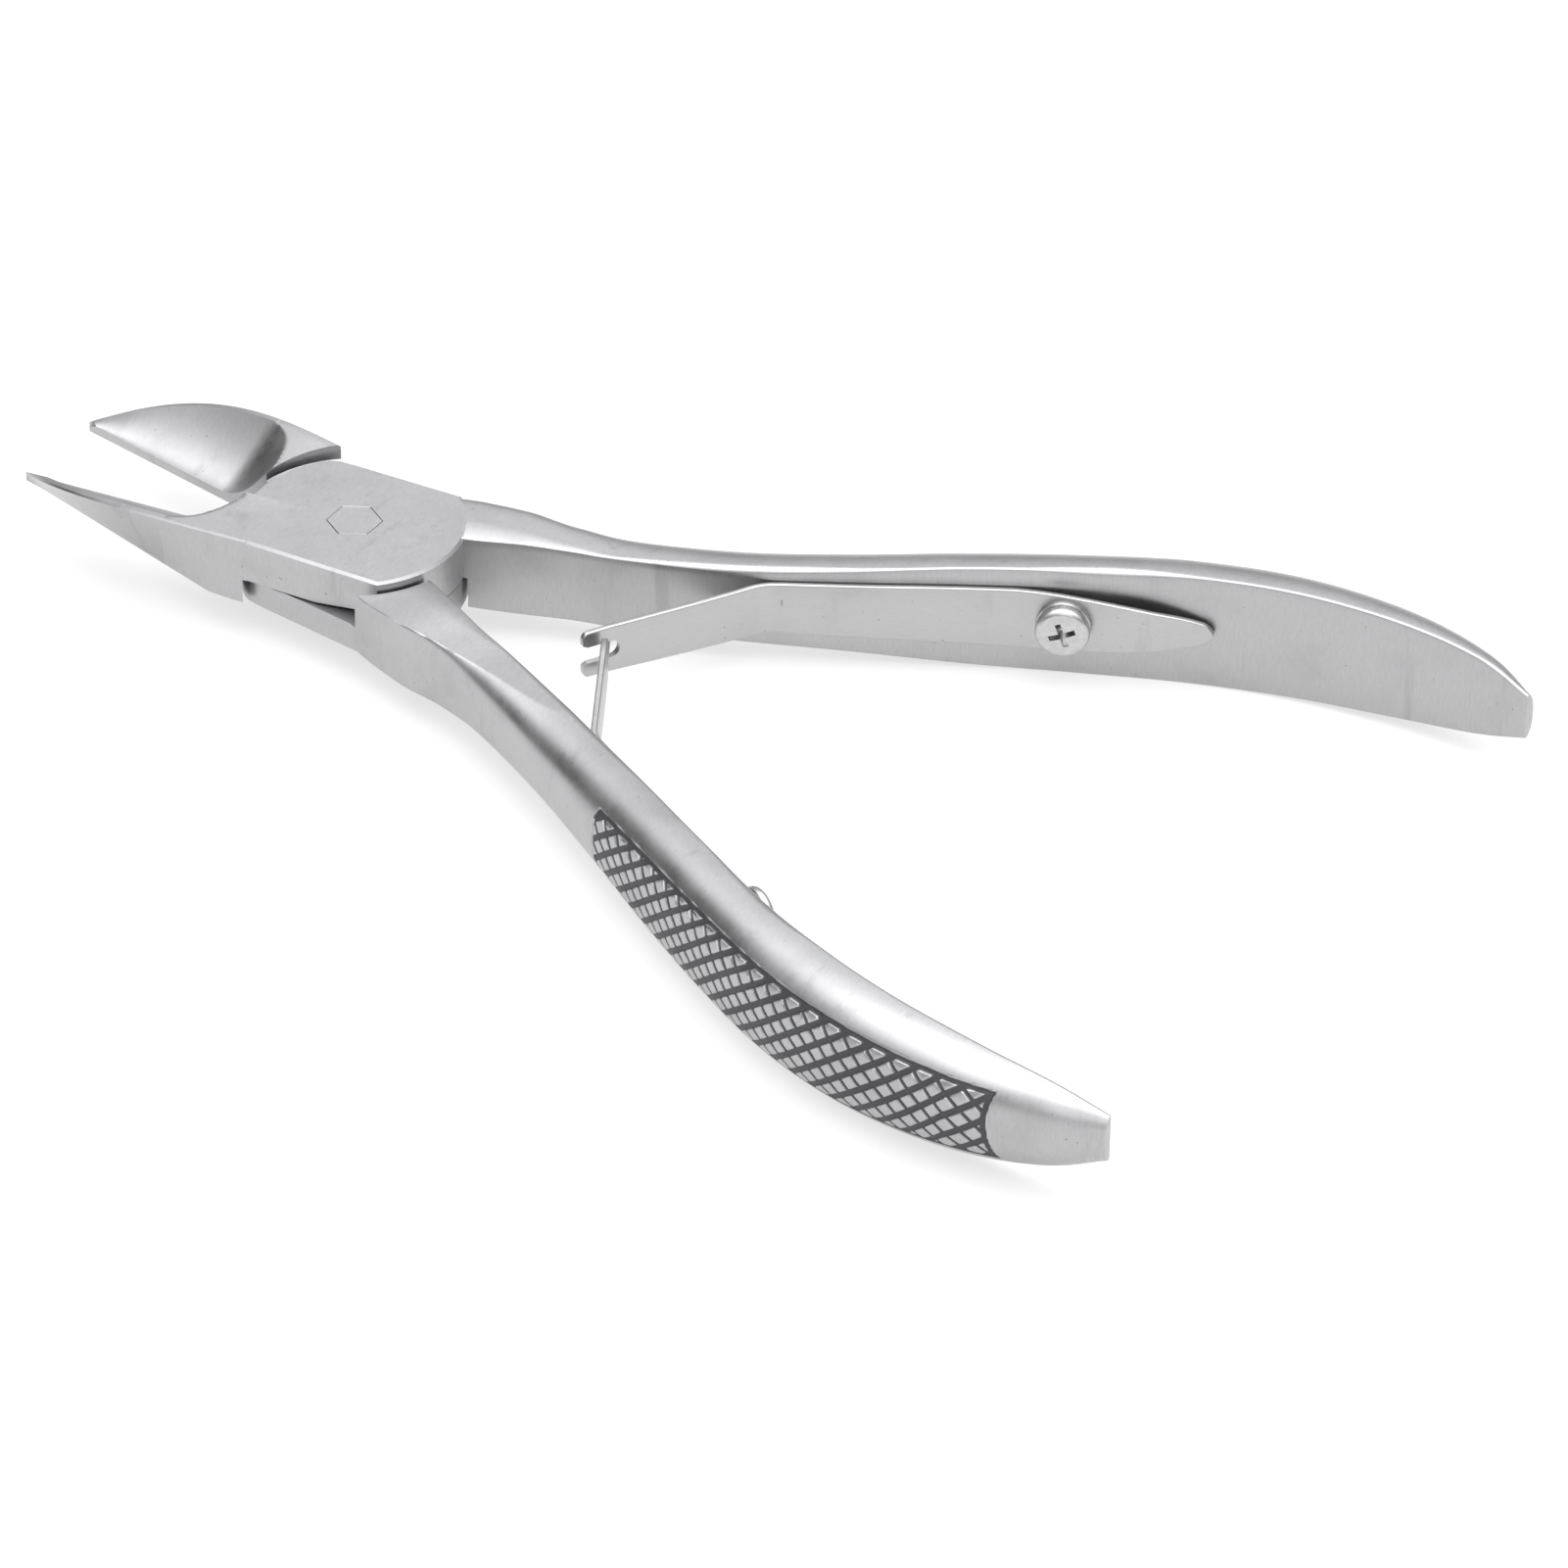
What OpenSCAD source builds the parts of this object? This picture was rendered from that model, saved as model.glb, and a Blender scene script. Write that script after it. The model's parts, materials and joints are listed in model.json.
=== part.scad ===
// Toenail nipper: two lap-jointed arms on a hexagon-headed rivet, opened by an
// interlocking pair of leaf springs. Origin: the pivot axis, on the flat underside
// of the head. +X runs to the handle ends, the jaws point to -X, +Z is up the rivet.

/* [Pose] */
// Angle that each arm stands open from the closed position, degrees
open_half = 8.3; // [6:0.1:9]

/* [Head] */
// Thickness of the lower lap plate
lower_lap_t = 3.0; // [2.4:0.1:4]
// Thickness of the upper lap plate
upper_lap_t = 4.5; // [3.6:0.1:5.4]
// Radius of the round lap about the pivot
lap_r = 10.6; // [10.2:0.1:11]
// Running gap between the lap plates and round them
lap_gap = 0.1; // [0.06:0.02:0.2]
// Gap between the round lap and the shoulders of the other arm
shoulder_gap = 0.35; // [0.3:0.05:0.6]
// Half width of the head on the handle side of each arm, in front
head_side = 8.5; // [8.2:0.1:8.9]
// The same at the waist, where the handle leaves the round lap
waist_side = 7.9; // [7.6:0.1:8.2]
// Height of the lower arm's handle root above the lap plane
lower_root_h = 3.7; // [3.2:0.1:4.4]

/* [Jaws] */
// Distance from the pivot to the jaw tips
jaw_reach = 34.8; // [30:0.2:38]
// Half width of the closed jaws at their root
jaw_side = 7.4; // [6.6:0.1:8]
// How much higher the lower arm's jaw stands than the head
jaw_step = 0.9; // [0:0.1:1.2]
// Width of the flat rim outside the hollow
rim_w = 0.75; // [0.4:0.05:1.2]
// Gap left between the two cutting edges when closed
edge_gap = 0.1; // [0.06:0.02:0.3]

/* [Rivet] */
// Radius to the corners of the hexagon in the upper arm
hex_r = 2.6; // [2.2:0.1:3.2]
// Radius of the round shank in the lower arm
shank_r = 2.1; // [1.6:0.1:2.4]
// Radius of the countersunk end, flush with the underside
foot_r = 3.1; // [2.8:0.1:3.6]
// Radial running clearance of the rivet in the lower arm
run_fit = 0.05; // [0.02:0.01:0.09]

/* [Leaf springs] */
// Thickness of the spring strip
leaf_t = 0.6; // [0.5:0.05:0.8]
// Width of the leaf at its bend
leaf_w = 5.4; // [4.4:0.1:5.6]
// Width of the free leaf at the crossing
leaf_tip_w = 4.6; // [4:0.1:5]
// Width of the leaf at its screw
leaf_root_w = 6.4; // [5:0.1:7.2]
// Height of the middle of both leaves above the underside of the head
leaf_z = 3.1; // [2.8:0.1:3.6]
// Where each leaf bends away from its handle, along X when closed
bend_x = 37.7; // [36:0.1:40]
// Distance from the pivot to the crossing of the open leaves
cross_x = 28; // [27.2:0.1:29]
// Height of the slot between the two prongs
slot_h = 1.8; // [1.6:0.1:2.2]
// Height of the tongue that passes through the slot
tongue_h = 1.3; // [0.8:0.1:1.3]

/* [Screws] */
// Where the leaf screws sit, along X when closed
screw_x = 64.5; // [60:0.5:68]
// Diameter of the pan head
screw_head_d = 4.4; // [3.8:0.1:5]
// Height of the pan head
screw_head_h = 1.9; // [1.4:0.1:2.2]
// Radius of the threaded shank
screw_r = 1.25; // [1:0.05:1.4]

/* [Hidden] */

head_t = lower_lap_t + upper_lap_t;
socket_r = lap_r + shoulder_gap;
eps = 0.01;

// Handle, closed: [x, y of the inner face, thickness, full height, squareness, middle's z]
HANDLE = [[6.5, 0.9, 6.8, 7.4, 12, 3.75], [11.2, 1.75, 6.85, 7.7, 12, 3.6],
          [15.8, 3.1, 6.1, 8, 10, 3.4], [20, 4.3, 4.9, 7.9, 7, 3.2],
          [25, 5.5, 4.8, 7.9, 4, 2.95], [35, 8.5, 5.1, 8.2, 3, 2.75],
          [45, 12.1, 5.3, 9.2, 2.8, 2.7], [55, 16, 5.3, 10.8, 2.8, 2.6],
          [65, 19.5, 5.6, 11.6, 2.8, 2.65], [75, 22.4, 5.8, 12, 2.8, 2.8],
          [85, 23.9, 5.6, 11.8, 2.8, 3], [95, 23.9, 4.8, 10.7, 2.6, 3.2],
          [103, 22.9, 3.1, 8.5, 2.4, 3.4], [108.4, 21.5, 1.1, 4.8, 2.2, 3.5]];
handle_steps = 3;
section_steps = 7;

// ---- Curves ---------------------------------------------------------------

// Catmull-Rom point between rows b and c of a table
function catmull(a, b, c, d, t) =
    b + t * ((c - a) / 2 + t * ((2 * a - 5 * b + 4 * c - d) / 2
      + t * (3 * b - 3 * c + d - a) / 2));

// Row of a table at position u, counted in rows
function row_at(table, u) =
    let (last = len(table) - 1, i = min(floor(u), last - 1),
         b = table[i], c = table[i + 1],
         a = i > 0 ? table[i - 1] : 2 * b - c,
         d = i + 2 <= last ? table[i + 2] : 2 * c - b)
    catmull(a, b, c, d, u - i);

// Position in the handle table, counted in rows, of a distance x along it
function handle_u(x) =
    let (i = max([for (k = [0:len(HANDLE) - 2]) if (HANDLE[k][0] <= x) k]))
    i + (x - HANDLE[i][0]) / (HANDLE[i + 1][0] - HANDLE[i][0]);

function unit(v) = v / norm(v);
function handle_row(x) = row_at(HANDLE, handle_u(x));
function inner_point(x) = let (r = handle_row(x)) [r[0], r[1]];
function inner_dir(x) = unit(inner_point(x + 0.2) - inner_point(x - 0.2));
function left_of(v) = [-v[1], v[0]];
function turn(p, a) = [p[0] * cos(a) - p[1] * sin(a), p[0] * sin(a) + p[1] * cos(a)];

// ---- Lofts ----------------------------------------------------------------

// Closed solid through rings of the same number of points, which run clockwise as
// seen along the loft. Each end is a fan round the last point of its ring.
module loft(rings) {
    n = len(rings[0]);
    last = len(rings) - 1;
    points = [for (ring = rings) each ring];
    sides = [for (i = [0:last - 1], j = [0:n - 1])
        let (a = i * n + j, b = i * n + (j + 1) % n)
        each [[a, a + n, b], [b, a + n, b + n]]];
    first_cap = [for (j = [0:n - 3]) [n - 1, j, j + 1]];
    last_cap = [for (j = [0:n - 3]) [last * n + n - 1, last * n + j + 1, last * n + j]];
    polyhedron(points, concat(first_cap, sides, last_cap));
}

// Outer half of a handle section: a flat inner face and a squared-round back.
// The top of the root can be lower than the rest, by top_drop.
function handle_ring(u, top_drop) =
    let (r = row_at(HANDLE, u), q = 2 / r[4],
         p = [r[0], r[1]],
         ahead = row_at(HANDLE, min(u + 0.02, len(HANDLE) - 1)),
         behind = row_at(HANDLE, max(u - 0.02, 0)),
         d = unit([ahead[0] - behind[0], ahead[1] - behind[1]]),
         drop = top_drop * min(1, max(0, (5 - u) / 4)))
    [for (k = [0:2 * section_steps])
        let (a = k * 90 / section_steps - 90,
             s = sign(sin(a)) * pow(abs(sin(a)), q),
             across = r[2] * pow(cos(a), q),
             z = r[5] + s * r[3] / 2,
             w = p + across * left_of(d))
        [w[0], w[1], min(z, r[5] + r[3] / 2 - drop)]];

module handle(top_drop) {
    count = (len(HANDLE) - 1) * handle_steps;
    loft([for (k = [0:count]) handle_ring(k / handle_steps, top_drop)]);
}

// ---- Jaws -----------------------------------------------------------------

jaw_root_x = 7.6;
jaw_len = jaw_reach - jaw_root_x;
jaw_bow = 3.6;
rim_bow = 2.7;
edge_z = lower_lap_t;
land_z = edge_z - 0.85;
root_dip = 0.6;
root_bow = [11.2, 0.18, 0.055];
jaw_columns = 7;
jaw_rows = 16;
tip_blunt = 0.35;

// How far a station is from the root to the tip, 0 to 1
function toward_tip(x) = max(0, (x - jaw_root_x) / jaw_len);
function jaw_y(x) = jaw_side * (1 - pow(toward_tip(x), jaw_bow)) + 0.06;
function rim_z(x, top) = edge_z + (top - edge_z) * (1 - pow(toward_tip(x), rim_bow)) + 0.1;
// The lower edge of the side face runs straight to the tip
function low_y(x) = jaw_side * min(1, (jaw_reach - x) / (jaw_reach - 11.7)) + 0.05;
function low_z(x, bottom) = land_z + (bottom - land_z) * min(1, (jaw_reach - x) / (jaw_reach - 9));
// Where the hollow starts, y out from the cutting edge
function hollow_start(y) = root_bow[0] + root_bow[1] * y + root_bow[2] * y * y;

// Top of the jaw at x and y: a hollow that rises to the rim and to the root
function smooth_max(a, b, r) = let (h = max(0, 1 - abs(a - b) / r)) max(a, b) + h * h * r / 4;
function jaw_top(x, y, top) =
    let (rim = rim_z(x, top), w = max(jaw_y(x) - rim_w * min(1, jaw_y(x) / 3), 0.02),
         across = edge_z + (rim - edge_z) * pow(min(y / w, 1), 1.8),
         root = rim - (top > head_t ? root_dip * (1 - min(1, y / w)) : 0),
         past_root = x - hollow_start(y),
         ramp = root - 1.4 * max(0, past_root))
    past_root <= 0 ? root : min(root, smooth_max(across, ramp, 2));

// Ring round a jaw at distance x from the pivot, for a jaw on the +Y side
function jaw_ring(x, top, bottom) =
    let (w = max(jaw_y(x) - rim_w * min(1, jaw_y(x) / 3), 0.02), y0 = edge_gap / 2)
    concat(
        [for (j = [0:jaw_columns]) let (y = w * j / jaw_columns)
            [-x, y0 + y, jaw_top(x, y, top)]],
        [[-x, y0 + jaw_y(x), rim_z(x, top)],
         [-x, y0 + low_y(x), low_z(x, bottom)],
         [-x, y0, land_z - (land_z - low_z(x, bottom)) * max(0, 1 - (x - 9) / 6) - 0.04]]);

// A jaw from its root to its tip, on the +Y side
module jaw(top, bottom) {
    loft([for (i = [0:jaw_rows])
        let (f = i / jaw_rows, x = jaw_root_x + (jaw_len - tip_blunt) * (1 - pow(1 - f, 1.35)))
        jaw_ring(x, top, bottom)]);
}

// ---- Arms -----------------------------------------------------------------

// Round lap with straight sides, and the block that joins it to the jaw
module lap_plate(h) {
    intersection() {
        cylinder(r = lap_r, h = h, $fn = 96);
        linear_extrude(h) lap_sides();
    }
    linear_extrude(h) jaw_root_plan();
}

waist_x = 7.7;
module lap_sides() {
    corner_x = 6.5;
    corner_y = jaw_side + 1;
    polygon([[-14, -head_side], [-4, -head_side], [waist_x, -waist_side], [14, -waist_side],
             [14, corner_y], [corner_x, corner_y], [-jaw_root_x, jaw_side], [-14, jaw_side]]);
}

module jaw_root_plan() {
    inner = edge_gap / 2 + 0.03;
    polygon([[-4, inner], [-lap_r - 0.2, inner], [-11.4, jaw_side / 2],
             [-11.4, jaw_side], [-jaw_root_x, jaw_side], [-4, jaw_side]]);
}

// A whole arm, closed, with its handle on the -Y side and its jaw on the +Y side
module arm_blank(lap_low, lap_high, root_drop, jaw_top_z, jaw_low_z) {
    translate([0, 0, lap_low]) lap_plate(lap_high - lap_low);
    mirror([0, 1, 0]) handle(root_drop);
    jaw(jaw_top_z, jaw_low_z);
}

// Blind hole for a leaf screw, square to the inner face of the handle on the +Y side
screw_hole_depth = 4.4;
module at_screw() {
    p = inner_point(screw_x);
    d = inner_dir(screw_x);
    translate([p[0], p[1], leaf_z]) rotate([0, 0, atan2(d[1], d[0])]) rotate([-90, 0, 0])
        children();
}

module screw_hole() {
    at_screw() translate([0, 0, -1]) cylinder(r = screw_r + 0.03, h = screw_hole_depth + 1, $fn = 32);
}

module hexagon(r, h) { linear_extrude(h) circle(r = r, $fn = 6); }

module upper_arm() {
    color("silver")
    rotate([0, 0, open_half])
    difference() {
        mirror([0, 1, 0])
            arm_blank(lower_lap_t + lap_gap / 2, head_t, 0, head_t, 0.4);
        translate([0, 0, -3])
            cylinder(r = socket_r, h = 3 + lower_lap_t + lap_gap / 2, $fn = 96);
        translate([0, 0, lower_lap_t]) rotate([0, 0, hex_turn])
            hexagon(hex_r + 0.02, upper_lap_t + 1);
        screw_hole();
    }
}

module lower_arm() {
    color("silver")
    rotate([0, 0, -open_half])
    difference() {
        arm_blank(0, lower_lap_t - lap_gap / 2, upper_lap_t - lower_root_h, head_t + jaw_step, 0);
        translate([0, 0, lower_lap_t - lap_gap / 2]) cylinder(r = socket_r, h = 12, $fn = 96);
        translate([0, 0, -1]) cylinder(r = shank_r + run_fit, h = lower_lap_t + 2, $fn = 64);
        rivet_foot(run_fit);
        mirror([0, 1, 0]) screw_hole();
    }
}

// ---- Rivet ----------------------------------------------------------------

foot_h = 1.1;
hex_turn = 22;
module rivet_foot(grow) {
    translate([0, 0, -eps * sign(grow)])
        cylinder(r1 = foot_r + grow, r2 = shank_r + grow, h = foot_h, $fn = 64);
}

module pivot_rivet() {
    color("gainsboro") {
        cylinder(r = shank_r, h = lower_lap_t + lap_gap / 2 + eps, $fn = 64);
        rivet_foot(0);
        translate([0, 0, lower_lap_t + lap_gap / 2]) rotate([0, 0, open_half + hex_turn])
            hexagon(hex_r, upper_lap_t - lap_gap / 2);
    }
}

// ---- Leaf springs ---------------------------------------------------------

face_gap = 0.1;
flex_gap = 0.16;
tail_x = 75.5;
prong_reach = 2.5;
slot_setback = 1.3;
tongue_setback = 1.7;
tongue_reach = 3.4;
leaf_mid = face_gap + leaf_t / 2;

// Middle of the strip beside the handle's inner face, handle on the +Y side
function strip_point(x, lift) = inner_point(x) - (leaf_mid + lift) * left_of(inner_dir(x));
bend_open = turn(strip_point(bend_x, 0), open_half);
cross_open = [cross_x, 0];
free_len = norm(cross_open - bend_open);
free_dir = unit(cross_open - bend_open);

// Strip through plan points, with a half width at each
module strip(path, halves) {
    n = len(path);
    loft([for (i = [0:n - 1])
        let (d = unit(path[min(i + 1, n - 1)] - path[max(i - 1, 0)]),
             s = left_of(d) * leaf_t / 2, a = path[i] + s, b = path[i] - s, h = halves[i])
        [[a[0], a[1], leaf_z + h], [b[0], b[1], leaf_z + h],
         [b[0], b[1], leaf_z - h], [a[0], a[1], leaf_z - h]]]);
}

// Clamped part of a leaf, from its bend to its rounded tail, which bows off the handle
tail_rise = 0.7;
base_x = [38.3, 42, 46, 50, 54, 58, 62, 66, 69, 71.5, 73.5, 74.8, 75.4];
function leaf_half(x) =
    x < screw_x ? leaf_w / 2 + (leaf_root_w - leaf_w) / 2 * (x - bend_x) / (screw_x - bend_x)
                : leaf_root_w / 2 * sqrt(max(0.02, 1 - pow((x - screw_x) / (tail_x - screw_x), 2)));
function tail_lift(x) = x > 66 ? tail_rise * sin(180 * (x - 66) / (tail_x - 66)) : 0;

module leaf_base() {
    difference() {
        strip([for (x = base_x) strip_point(x, tail_lift(x))], [for (x = base_x) leaf_half(x)]);
        at_screw() translate([0, 0, -2]) cylinder(r = screw_r + 0.1, h = 4, $fn = 32);
    }
}

function along(d) = bend_open + d * free_dir;
function free_path(ds) = [for (d = ds) along(d)];

// Free part with a fork at its end, as it stands with the arms open
module slotted_leaf_tip() {
    end = free_len + prong_reach;
    root = free_len - slot_setback;
    color("lightgray")
    difference() {
        strip(free_path([flex_gap, end - 0.7, end - 0.25, end]),
              [leaf_w / 2, leaf_tip_w / 2, leaf_tip_w / 2 - 0.15, leaf_tip_w / 2 - 0.6]);
        strip_slot(root, end + 1);
    }
}

module strip_slot(from, to) {
    a = along(from);
    translate([a[0], a[1], leaf_z]) rotate([0, 0, atan2(free_dir[1], free_dir[0])])
        translate([0, -2, -slot_h / 2]) cube([to - from, 4, slot_h]);
}

// Free part with a tongue that passes through the slot and hooks over
module tongue_leaf_tip() {
    start = free_len - tongue_setback;
    end = free_len + tongue_reach;
    hook = left_of(free_dir);
    color("lightgray") mirror([0, 1, 0]) {
        strip(free_path([flex_gap, start - 0.3, start]),
              [leaf_w / 2, leaf_tip_w / 2, leaf_tip_w / 2 - 0.35]);
        strip(concat(free_path([start - 0.2, free_len + 1.4]),
                     [for (k = [0:4]) along(free_len + 1.4 + 2 * sin(k * 20)) + 1.2 * (1 - cos(k * 20)) * hook]),
              [for (k = [0:6]) k < 6 ? tongue_h / 2 : tongue_h / 4]);
    }
}

module slotted_leaf_base() { color("lightgray") rotate([0, 0, open_half]) leaf_base(); }
module tongue_leaf_base() {
    color("lightgray") rotate([0, 0, -open_half]) mirror([0, 1, 0]) leaf_base();
}

// ---- Screws ---------------------------------------------------------------

cross_w = 0.5;
cross_l = 2.4;
cross_depth = 1;
screw_len = 4;

// Pan-head screw along +Z of the handle's hole, head on the leaf
module leaf_screw() {
    seat = -face_gap - leaf_t;
    at_screw() {
        translate([0, 0, seat - 0.05]) cylinder(r = screw_r, h = screw_len + 0.05 - seat, $fn = 32);
        difference() {
            rotate_extrude($fn = 48) pan_profile(seat);
            for (a = [0, 90]) rotate([0, 0, a + 20])
                translate([-cross_l / 2, -cross_w / 2, seat - screw_head_h - 1])
                    cube([cross_l, cross_w, cross_depth + 1]);
        }
    }
}

module pan_profile(seat) {
    r = screw_head_d / 2;
    crown = 0.35;
    translate([0, seat - screw_head_h]) polygon(concat(
        [[0, screw_head_h], [0, 0]],
        [for (k = [0:6]) let (a = k * 15) [r - 0.9 + 0.9 * sin(a), crown + 0.65 - 0.65 * cos(a)
            - crown * (1 - sin(a))]],
        [[r, screw_head_h]]));
}

module slotted_leaf_screw() { color("gainsboro") rotate([0, 0, open_half]) leaf_screw(); }
module tongue_leaf_screw() {
    color("gainsboro") rotate([0, 0, -open_half]) mirror([0, 1, 0]) leaf_screw();
}

upper_arm();
lower_arm();
pivot_rivet();
slotted_leaf_base();
slotted_leaf_tip();
slotted_leaf_screw();
tongue_leaf_base();
tongue_leaf_tip();
tongue_leaf_screw();
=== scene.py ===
"""Looks for the nail nipper: detailed arms, leaf springs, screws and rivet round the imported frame.

Shapes are worked out in millimetres with the arms closed, as in the part. Then each arm is turned
open about the pivot and scaled to metres. Both arms are made with the handle at -Y and the jaw at
+Y, as the lower arm lies; the upper arm is then mirrored."""
import json
import math
import bmesh
import bpy
import numpy as np
from mathutils import Matrix, Vector
from mathutils.kdtree import KDTree


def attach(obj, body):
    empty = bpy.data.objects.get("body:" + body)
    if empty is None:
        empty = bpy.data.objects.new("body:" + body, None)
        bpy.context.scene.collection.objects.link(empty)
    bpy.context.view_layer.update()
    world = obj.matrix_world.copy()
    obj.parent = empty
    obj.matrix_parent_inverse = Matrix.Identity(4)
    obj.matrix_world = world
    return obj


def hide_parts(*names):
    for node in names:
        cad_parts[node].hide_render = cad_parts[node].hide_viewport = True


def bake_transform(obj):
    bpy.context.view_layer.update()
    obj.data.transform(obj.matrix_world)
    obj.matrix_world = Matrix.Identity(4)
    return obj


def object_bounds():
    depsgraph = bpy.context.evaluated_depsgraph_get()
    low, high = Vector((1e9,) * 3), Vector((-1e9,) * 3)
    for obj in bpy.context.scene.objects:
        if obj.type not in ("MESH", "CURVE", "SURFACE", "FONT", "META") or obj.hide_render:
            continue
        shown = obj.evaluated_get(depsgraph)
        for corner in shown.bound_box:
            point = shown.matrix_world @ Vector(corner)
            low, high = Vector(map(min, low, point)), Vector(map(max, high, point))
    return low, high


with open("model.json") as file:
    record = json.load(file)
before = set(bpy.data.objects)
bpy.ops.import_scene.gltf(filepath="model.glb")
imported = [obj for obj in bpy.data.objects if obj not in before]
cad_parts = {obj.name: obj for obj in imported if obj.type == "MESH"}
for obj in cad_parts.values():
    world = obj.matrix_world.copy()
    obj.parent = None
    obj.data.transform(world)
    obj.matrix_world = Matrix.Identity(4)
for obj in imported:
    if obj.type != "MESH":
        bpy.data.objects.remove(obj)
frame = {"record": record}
cad_low, cad_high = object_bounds()

MM = 0.001               # a millimetre in metres
MIRROR = Matrix.Scale(-1, 4, (0, 1, 0))


def from_record(rows, name):
    """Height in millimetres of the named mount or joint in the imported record."""
    return round(next(row for row in rows if row["name"] == name)["pos_m"][2] / MM, 3)


# ---- Head, in millimetres ----------------------------------------------------------------------

OPEN_HALF = math.radians(8.3)              # half the angle between the arms at rest
HEAD_T = from_record(frame["record"]["mounts"], "head_top")
LAP_Z = 3.0                                # plane between the two laps
LAP_GAP = 0.1
LAP_R = 10.6
SOCKET_R = 10.95                           # where the other arm turns round the lap
HEAD_SIDE = 8.5
WAIST = (7.26, -7.92)                      # where the lap's straight side meets its round end
SHOULDER = (6.46, 8.397)
ROOT_DROP = 0.8                            # how much lower the lower arm's handle root is
EDGE = 0.25                                # chamfer along the head's outer edges
UPPER_INNER_EDGE, LOWER_INNER_EDGE = 0.08, 0.1

# Relief under the upper lap at the shoulder: (x, depth), and how far it spreads and leans
RELIEF = ((-0.6, 0.02), (3, 0.6), (6.6, 1.1), (8, 1.2))
RELIEF_SPREAD = 0.071
RELIEF_LEAN = 1.3

SOCKET_FLARE = 0.25                        # eased edge of the socket in the lower arm
ABOVE, BELOW = 16, -6                      # heights well clear of the head, for cutting tools

# ---- Rivet -------------------------------------------------------------------------------------

HEX_R = 2.6
HEX_TURN = math.radians(22)
HEX_GAP = 0.045
HEX_EDGE = 0.03
SHANK_R, SHANK_GAP = 2.1, 0.05
FOOT_R, FOOT_GAP = 3.1, 0.07
FOOT_H = 1.1

# ---- Jaws --------------------------------------------------------------------------------------

JAW_ROOT_X = 7.6
JAW_REACH = 34.8
JAW_SIDE = 7.4
UPPER_JAW = (HEAD_T, 0.4, 0.0, 3.6)        # top, bottom, dip at the root, bow of the rim
LOWER_JAW = (8.4, 0.0, 0.6, 2.6)
SIDE_BOW = 3.6                             # how late the side curves in towards the tip
BLADE_Y = 0.05                             # half the gap between the blades when closed
SIDE_INSET = 0.054                         # brings the jaw's side flush with the lap's
RIM_W = 0.75
RIM_FULL = 3                               # half width of the jaw where the rim has its full width
TIP_RIM = 0.1                              # height of the tip above the blades' plane
TIP_BLUNT = 0.12
LAND_Z = LAP_Z - 0.85                      # bottom of the blades' mating faces
LAND_X, LAND_RUN = 9, 6                    # where the faces begin, and how far they take to form
BELLY_X = 11.7                             # where the underside starts to narrow
RIM_UNDER = 0.005                          # keeps the rim's root just under the lap's top
UNDER_CLEAR = 0.02                         # how far below the land the mating face reaches
HOLLOW_START = (11.2, 0.18, 0.055)         # the hollow's root is at x = a + b y + c y^2
HOLLOW_BOW = 1.8
HOLLOW_RAMP = 1.15                         # slope down from the root into the hollow
HOLLOW_BLEND = 3                           # how widely the ramp and the hollow run together
HOLLOW_POINTS = 22
JAW_RINGS = 120
JAW_CROWDING = 1.35                        # brings the rings closer together near the tip
JAW_EDGE = 0.16
CUT_EDGE = 0.09

# ---- Handles -----------------------------------------------------------------------------------

# Closed: x, y of the inner face, thickness, full height, squareness, middle's z
HANDLE = np.array([
    [6.5, 0.9, 6.8, 7.49, 14, 3.75], [11.2, 1.75, 6.85, 7.79, 14, 3.6],
    [15.8, 3.1, 6.1, 8.05, 10, 3.42], [20, 4.3, 4.9, 7.9, 7, 3.2],
    [25, 5.5, 4.8, 7.9, 4, 2.95], [35, 8.5, 5.1, 8.2, 3, 2.75],
    [45, 12.1, 5.3, 9.2, 2.8, 2.7], [55, 16, 5.3, 10.8, 2.8, 2.6],
    [65, 19.5, 5.6, 11.6, 2.8, 2.65], [75, 22.4, 5.8, 12, 2.8, 2.8],
    [85, 23.9, 5.6, 11.8, 2.8, 3], [95, 23.9, 4.8, 10.7, 2.6, 3.2],
    [103, 22.9, 3.1, 8.5, 2.4, 3.4], [108.4, 21.5, 1.1, 4.8, 2.2, 3.5]])
DROP_END_X, DROP_RUN = 35, 24              # where the lower arm's dropped root is level again
INNER_ROUND = 0.26                         # rounding of the inner edges
WORN = ((37, 15, 0.45), (68, 9, 0.5))      # more of it on the top edge: x, reach, extra
TOP_ROUND_SHARE = 0.6                      # how much lower than wide the top edge's rounding is
SECTION_SAMPLES = 700
FRONT_POINTS = 12
CORNER_POINTS = 5
BACK_POINTS = 128
ROOT_STEP, END_STEP = 0.5, 0.3             # distance between rings before and after the pad
END_X = 107.4                              # after it the rings are closer still
END_STATIONS = [107.6, 107.9, 108.1, 108.25]

# ---- Knurled pads ------------------------------------------------------------------------------

KNURL_FROM, KNURL_TO = 47.2, 98.6
KNURL_HALF = 4.65                          # half height of the pad, round the back
KNURL_NARROWS = (1.2, 0.85)                # loss of half height towards the root and the end
KNURL_END_BOW = 0.05                       # how much the pad's two ends curve
KNURL_END_MIDDLE = (0.5, 0.8)              # height where each curve is deepest
KNURL_DEPTH = 0.17
KNURL_BORDER = 0.4
KNURL_WALL = (-0.02, 0.12)                 # from the arm's surface down into the pad
KNURL_CELL_WALL = 0.15
KNURL_STEP = 0.14                          # distance between rings there
ROWS = (math.radians(43), 1.62, 0.27)      # wide grooves: angle, pitch and half width
CELLS = (math.radians(-43), 1.55, 0.15)    # narrow grooves across them

# ---- Leaf springs ------------------------------------------------------------------------------

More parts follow.
